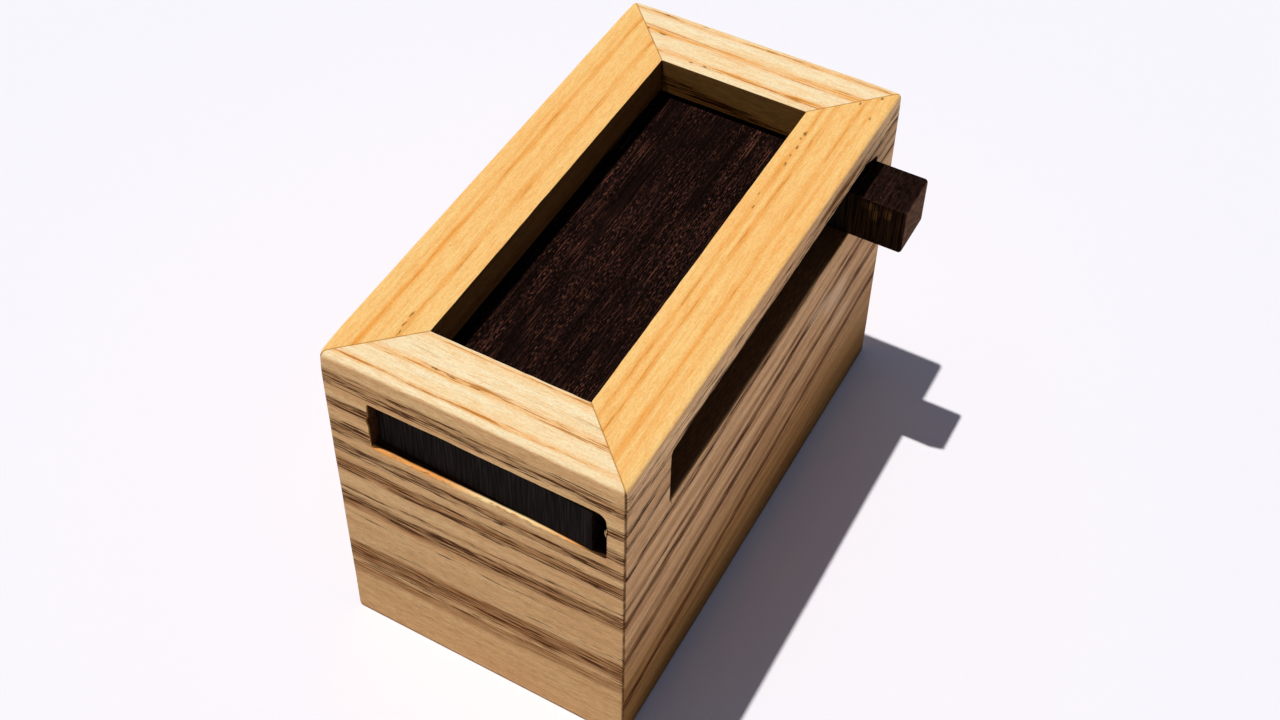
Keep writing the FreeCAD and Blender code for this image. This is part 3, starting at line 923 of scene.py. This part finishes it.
def slotCutter(board, slot):
    # what the slot takes out: flared and ragged at the mouth, clean further in
    outline = slotOutline(slot)
    lips, wave = slot["lips"], slotEdges["lipWave"]
    inner = board["thickness"] + 1
    rings = []
    throat = [slot["throat"], slot["throat"] + 0.1] if slot["throat"] < inner else []
    for deep in (*slotEdges["mouth"], *throat, inner):
        ring = []
        for point, normal in outline:
            sides = {"floor": max(-normal.y, 0), "top": max(normal.y, 0),
                     "low": max(-normal.x, 0), "high": max(normal.x, 0)}
            lip = sum(lips[side] * share ** 2 for side, share in sides.items())
            ragged = sum(slot["ragged"][side] * share ** 2 for side, share in sides.items())
            worn = noise.noise((point.x / wave, point.y / wave, slot["seed"]))
            lip *= 1 + slotEdges["lipWander"] * worn
            lip *= 1 - slot["thinning"] * sides["floor"] * thinned(point.x)
            within = min(max(deep, 0.0), lip)
            flare = lip - math.sqrt(lip ** 2 - (lip - within) ** 2)
            coarse = tearNoise("coarse", point, deep, slot["seed"])
            fine = tearNoise("fine", point, deep, -slot["seed"])
            tear = ragged * (0.5 + 0.35 * coarse + 0.25 * fine)
            tear *= 1.0 if deep < slotEdges["tornDeep"] else slotEdges["cleaner"]
            for side, centre, reach, size in slot["bites"]:
                at = point.x if side in ("floor", "top") else point.y
                tear += sides[side] * size * math.exp(-((at - centre) / reach) ** 2 - max(deep, 0))
            moved = point + normal * (flare + tear)
            moved.x += slot["lean"] * (moved.y - slot["floor"]) * sides["low"]
            slid = max(point.x - slot["high"] + slot["slope"], 0.0) / slot["slope"]
            moved.y -= (slot["drop"] * slid * (moved.y - slot["floor"])
                        / (slot["top"] - slot["floor"]))
            height = max(moved.y, channel["floor"] + 0.01) if deep > slot["throat"] else moved.y
            ring.append(boardPoint(board, moved.x, deep, height))
        rings.append(ring)
    return solid("slot", rings, sawn[board["name"]])


def knifeCut(board, cut):
    # where the saw or knife ran past the corner: a thin wedge below the slot
    side = cut["width"] / 2
    rings = [[boardPoint(board, cut["along"] + shift + lean, deep, height)
              for shift, deep in ((-side, -0.2), (side, -0.2), (0.0, cut["deep"]))]
             for height, lean in ((cut["top"], 0.0), (cut["bottom"], cut["lean"]))]
    return solid("knife cut", rings, sawn[board["name"]])


def settle(made):
    # turns the object's modifiers into its own mesh
    mesh = bpy.data.meshes.new_from_object(
        made.evaluated_get(bpy.context.evaluated_depsgraph_get()))
    made.modifiers.clear()
    made.data = mesh


def dissolveSpare(mesh):
    # points that a cut leaves between two faces only: they would fold once the faces are split
    build = bmesh.new()
    build.from_mesh(mesh)
    spare = [vert for vert in build.verts if len(vert.link_faces) == 2]
    bmesh.ops.dissolve_verts(build, verts=spare)
    build.to_mesh(mesh)
    build.free()


def finishBoard(board, cutters):
    # takes the cutters out of the board, then keeps the flat faces flat in shading
    board.data.shade_smooth()
    board.data.set_sharp_from_angle(angle=math.radians(easing["smooth"]))
    for cutter in cutters:
        cut = board.modifiers.new(cutter.name, "BOOLEAN")
        cut.operation = "DIFFERENCE"
        cut.solver = "EXACT"
        cut.material_mode = "TRANSFER"
        cut.object = cutter
    if cutters:
        settle(board)
        dissolveSpare(board.data)
    weighted = board.modifiers.new("flat faces", "WEIGHTED_NORMAL")
    weighted.keep_sharp = True
    weighted.weight = 90
    settle(board)
    for cutter in cutters:
        bpy.data.objects.remove(cutter)


frontSlot = {
    "low": channel["left"], "high": channel["right"],
    "floor": channel["floor"], "top": lidHigh.z + play["inFrontSlot"],
    "radii": (0.15, 1.2, 0.2, 0.15),           # lower right, upper right, upper left, lower left
    "lips": {"floor": 0.38, "top": 0.14, "low": 0.2, "high": 0.16},
    "ragged": {"floor": 0.12, "top": 0.08, "low": 0.16, "high": 0.16},
    "bites": [("low", 43.4, 0.8, 0.4), ("high", 43.7, 0.6, 0.22), ("floor", -9.5, 3.0, 0.12),
              ("top", -4.0, 3.5, 0.12)],
    "lean": 0.035, "seed": 3.0, "throat": 20.0, "slope": 1.0, "drop": 0.0, "thinning": 0.75,
    "thinsOut": (1.0, 12.0),                   # the worn lip, from here and over this length
    "knifeCuts": [],
}
sideSlot = {
    "low": frontLow.y + 10.7, "high": channel["back"],      # clear of the front joint
    "floor": channel["floor"], "top": lidHigh.z + play["inSideSlot"],
    "radii": (0.15, 0.15, 0.5, 0.15),
    "lips": {"floor": 0.18, "top": 0.3, "low": 0.14, "high": 0.12},
    "ragged": {"floor": 0.14, "top": 0.1, "low": 0.08, "high": 0.08},
    "bites": [("floor", -14.0, 4.0, 0.1), ("floor", 8.0, 6.0, 0.1), ("top", -28.5, 4.0, -0.35)],
    "lean": 0.0, "seed": 11.0, "throat": 2.6, "thinning": 0.0,
    "slope": 4.2, "drop": 1.5,            # the top comes down towards the back end
    "knifeCuts": [
        {"along": -27.4, "top": 38.8, "bottom": 37.6, "lean": 0.12, "width": 0.16, "deep": 0.5},
        {"along": 21.2, "top": 38.8, "bottom": 37.7, "lean": 0.35, "width": 0.16, "deep": 0.5},
    ],
}
slots = {"front": [frontSlot], "right": [sideSlot]}

for name, board in boards.items():
    made = makeBoard(board)
    cutters = []
    for slot in slots.get(name, ()):
        cutters.append(slotCutter(board, slot))
        cutters += [knifeCut(board, cut) for cut in slot["knifeCuts"]]
    finishBoard(made, cutters)
    handOver(made, "box")
    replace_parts(made, f"{name}_wall")


# Lid and lever

def makeBar(name, rings, settings):
    # sawn bar: eased along every edge, and never quite flat
    build = bmesh.new()
    skin(build, rings)
    bmesh.ops.recalc_face_normals(build, faces=build.faces)
    sharp = [edge for edge in build.edges
             if edge.calc_face_angle(0) > math.radians(25)]
    bmesh.ops.bevel(build, geom=sharp, offset=settings["ease"], segments=3, profile=0.5,
                    affect="EDGES", clamp_overlap=True)
    bmesh.ops.recalc_face_normals(build, faces=build.faces)
    build.normal_update()
    for vert in build.verts:
        worn = 0.5 + 0.5 * noise.noise(vert.co / settings["wave"])
        vert.co -= vert.normal * settings["uneven"] * worn
    made = addObject(name, build, wenge)
    finishBoard(made, [])
    handOver(made, "sliding_lid")
    return made


lid = {"ease": 0.22, "uneven": 0.03, "wave": 5.0, "skew": 1.2, "step": 3.0}


def lidRings():
    # sections from front to back; the front end is sawn out of square
    width, length = lidHigh.x - lidLow.x, lidHigh.y - lidLow.y
    across = round(width / lid["step"])
    count = round(length / lid["step"])
    rings = []
    for station in range(count + 1):
        share = station / count
        ring = []
        for side, order in ((lidLow.z, range(across + 1)), (lidHigh.z, range(across, -1, -1))):
            for index in order:
                x = lidLow.x + width * index / across
                front = lidLow.y + lid["skew"] * (lidHigh.x - x) / width
                ring.append((x, front + (lidHigh.y - front) * share, side))
        rings.append(ring)
    return rings


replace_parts(makeBar("lid_board", lidRings(), lid), "lid")

lever = {"ease": 0.22, "uneven": 0.04, "wave": 2.5, "chamfer": 0.3}


def leverRings():
    # sections from the lid's edge outwards; the last one is worn off, most of all below
    shoulder = leverHigh.x - lever["chamfer"]
    rings = []
    for x in (leverLow.x, leverLow.x + 3, leverLow.x + 6, shoulder, leverHigh.x):
        lift = lever["chamfer"] if x == leverHigh.x else 0.0
        low, high = leverLow.z + lift, leverHigh.z - lift * 0.6
        near, far = leverLow.y + lift * 0.4, leverHigh.y - lift
        middle = (leverLow.y + leverHigh.y) / 2
        rings.append([(x, near, low), (x, middle, low), (x, far, low),
                      (x, far, high), (x, middle, high), (x, near, high)])
    return rings


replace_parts(makeBar("lever_bar", leverRings(), lever), "lever")


# Torn fibres at the slots

def growSlivers(name, roots, slivers):
    # tapered splinters that stay in the room between the front face and the lid's way out
    rng = random.Random(slivers["seed"])
    build = bmesh.new()
    for root, along, curl in roots:
        length = rng.uniform(*slivers["length"])
        width = rng.uniform(*slivers["width"])
        side = along.cross(curl).normalized()
        lift = side.cross(along).normalized()
        rings = []
        for step in range(6):
            share = step / 5
            radius = width / 2 * (1 - share) ** 0.6 + 0.008
            centre = root + along * length * share + curl * length * slivers["curl"] * share ** 2
            centre.y = max(centre.y, frontLow.y + radius)
            if slivers["underLid"]:
                centre.z = min(centre.z, channel["floor"] - radius - 0.02)
            rings.append([centre + (side * math.cos(turn) + lift * math.sin(turn)) * radius
                          for turn in (0.0, math.tau / 3, 2 * math.tau / 3)])
        skin(build, rings)
    made = addObject(name, build, torn)
    made.data.shade_smooth()
    handOver(made, "box")


sill = {
    "seed": 5, "length": (0.4, 1.4), "width": (0.04, 0.1), "curl": 0.1, "underLid": True,
    "tufts": [(-12.5, -4.0, 8), (2.8, 7.4, 70), (-4.0, 13.0, 12)],    # from, to, how many
}


def sillRoots():
    # along the rounded lower edge of the front slot
    rng = random.Random(sill["seed"])
    roots = []
    for low, high, count in sill["tufts"]:
        for _ in range(count):
            turn = math.radians(rng.uniform(25, 75))
            out = Vector((0, -math.cos(turn), math.sin(turn)))
            along = rng.uniform(low, high)
            radius = frontSlot["lips"]["floor"] * (1 - frontSlot["thinning"] * thinned(along))
            centre = Vector((along, frontLow.y + radius, frontSlot["floor"] - radius - 0.1))
            along = Vector((rng.choice((-1, 1)), -0.06, rng.uniform(-0.08, 0.12))).normalized()
            roots.append((centre + out * radius, along, out))
    return roots


growSlivers("sill_fibres", sillRoots(), sill)

splinters = {
    "seed": 9, "length": (0.6, 1.1), "width": (0.14, 0.24), "curl": 0.15, "underLid": False,
    "places": [(17.98, 42.8, 0.12), (18.05, 43.3, -0.05), (18.04, 42.6, 0.3)],    # x, z, lean
}
splinterRoots = [(Vector((x, frontLow.y + 0.18, z)), Vector((-lean, 0.05, 1.0)).normalized(),
                  Vector((-1, 0.2, 0))) for x, z, lean in splinters["places"]]
growSlivers("slot_splinters", splinterRoots, splinters)


# What keeps its CAD shape

panelWood = {
    **boards["left"], "outerFace": panelHigh.x, "thickness": panelHigh.x * 4, "seed": 77.0,
    "halfLength": panelHigh.y * 2, "ratios": (0.0, 0.0),
    "rim": {**longFace, "rise": 0.6, "span": 20.0,
            "rows": [(1.5, 3.0, 0.7), (5.5, 7.3, 0.8), (9.5, 11.0, 0.6), (13.0, 14.4, 0.7)],
            "stains": [(1.2, 3.4, 0.6), (5.2, 7.8, 0.7), (9.2, 11.4, 0.5), (12.8, 14.8, 0.6)]},
}
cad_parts["bottom_panel"].material_slots[0].material = oiledAsh("oiled ash panel", panelWood)
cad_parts["lever_dowel"].material_slots[0].material = beech
